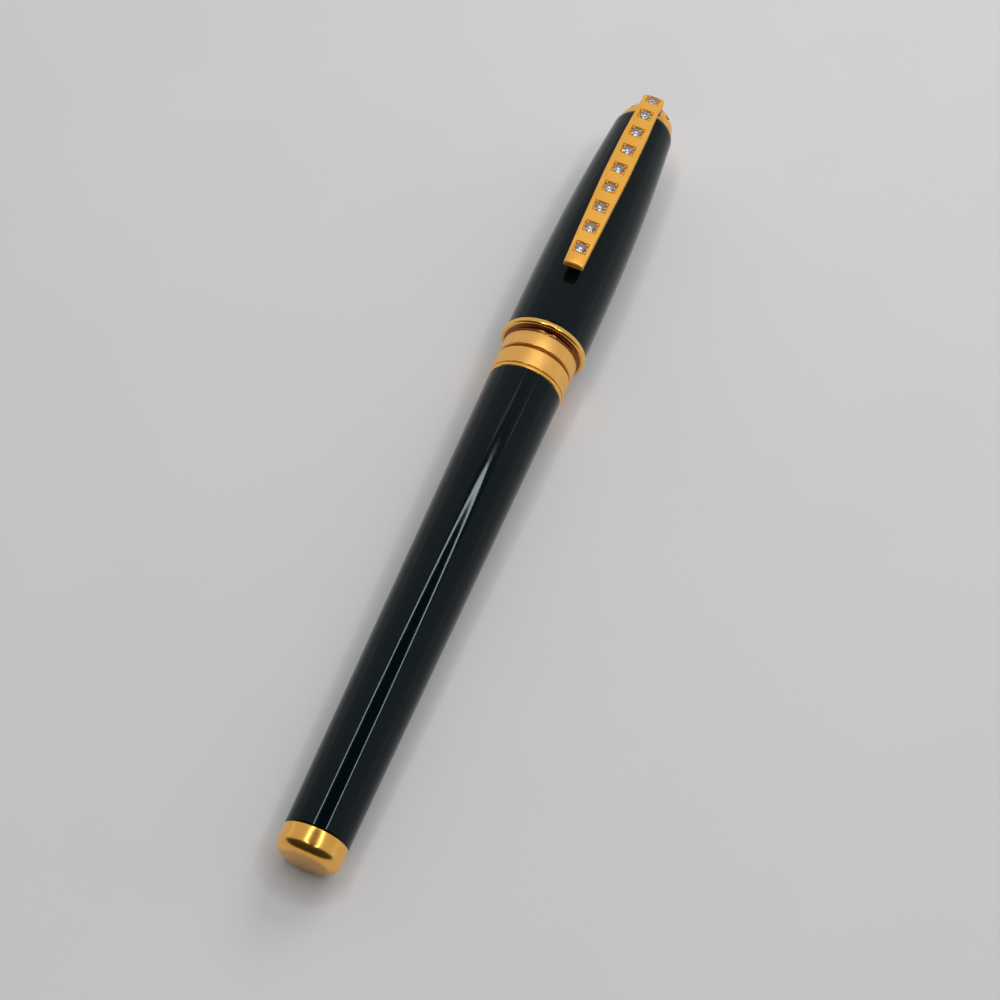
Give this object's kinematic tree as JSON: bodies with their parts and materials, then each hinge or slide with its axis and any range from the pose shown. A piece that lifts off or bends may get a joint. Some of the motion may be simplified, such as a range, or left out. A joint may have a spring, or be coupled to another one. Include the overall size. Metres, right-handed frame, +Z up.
{
  "type": "rollerball pen",
  "caption": "Capped rollerball pen with a lacquered barrel, gilt collars, a bead ring, a domed finial and a stone-set spring clip.",
  "frame": {"origin": "centre of the flat end face at the barrel end, on the pen's axis", "axes": "+X along the pen's axis from the barrel end to the cap's finial, +Z up towards the clip as the pen lies, +Y across"},
  "size_m": [0.1376, 0.0134, 0.016],
  "materials": {
    "black_lacquer": "deep gloss lacquer over brass",
    "polished_gilt": "mirror polished gilt",
    "satin_gilt": "satin gilt with a fine turned grain",
    "clip_gilt": "softly polished gilt with bright-cut recesses",
    "raw_brass": "machined brass",
    "spring_steel": "bright spring steel",
    "black_grip": "smooth moulded resin",
    "refill_plastic": "matt moulded plastic",
    "refill_metal": "nickel plated",
    "ink_core": "ink soaked fibre",
    "clear_stone": "clear round brilliant cut"
  },
  "bodies": {
    "barrel": {"end_cap": "polished_gilt", "end_plug": "raw_brass", "barrel_shell": "black_lacquer", "barrel_rim_ring": "polished_gilt", "barrel_collar": "satin_gilt", "barrel_insert": "raw_brass"},
    "clutch": {"cap_clutch_ring": "spring_steel"},
    "cap": {"cap_collar": "satin_gilt", "cap_bead_ring": "polished_gilt", "cap_shell": "black_lacquer", "inner_cap": "refill_plastic", "finial_screw": "spring_steel", "lock_washer": "spring_steel", "finial": "polished_gilt", "clip_spring": "spring_steel", "clip_pin": "spring_steel"},
    "clip": {"clip": "clip_gilt", "clip_stone_1": "clear_stone", "clip_stone_2": "clear_stone", "clip_stone_3": "clear_stone", "clip_stone_4": "clear_stone", "clip_stone_5": "clear_stone", "clip_stone_6": "clear_stone", "clip_stone_7": "clear_stone", "clip_stone_8": "clear_stone", "clip_stone_9": "clear_stone"},
    "spring": {"refill_spring": "spring_steel"},
    "section": {"section_bush": "raw_brass", "section_ring": "polished_gilt", "grip_section": "black_grip", "nose_cone": "polished_gilt"},
    "refill": {"refill_end_plug": "refill_plastic", "refill_tube": "refill_metal", "ink_reservoir": "ink_core", "refill_nose": "refill_plastic", "ball_tip": "refill_metal", "writing_ball": "spring_steel"}
  },
  "joints": [
    {"name": "cap_pull", "type": "slide", "parent": "barrel", "child": "clutch", "axis": [1, 0, 0], "range_m": [0, 0.06]},
    {"name": "cap_turn", "type": "hinge", "parent": "clutch", "child": "cap", "pos_m": [0.1, 0, 0], "axis": [1, 0, 0], "continuous": true},
    {"name": "clip_lift", "type": "hinge", "parent": "cap", "child": "clip", "pos_m": [0.1346, 0, 0.0029], "axis": [0, 1, 0], "range_deg": [0, 3], "stiffness_Nm_per_rad": 0.05, "springref_deg": -20.05, "deforming": ["clip_spring"]},
    {"name": "section_turn", "type": "hinge", "parent": "barrel", "child": "spring", "pos_m": [0.084, 0, 0], "axis": [1, 0, 0], "range_deg": [0, 2160]},
    {"name": "section_travel", "type": "slide", "parent": "spring", "child": "section", "axis": [1, 0, 0], "range_m": [0, 0.0045], "deforming": ["refill_spring"]},
    {"name": "refill_float", "type": "slide", "parent": "section", "child": "refill", "axis": [-1, 0, 0], "range_m": [0, 0.0006], "stiffness_N_per_m": 400, "springref_m": -0.001, "deforming": ["refill_spring"]}
  ],
  "couplings": [
    {"joint": "section_turn", "follows": "section_travel", "rad_per_m": 8377.6}
  ]
}
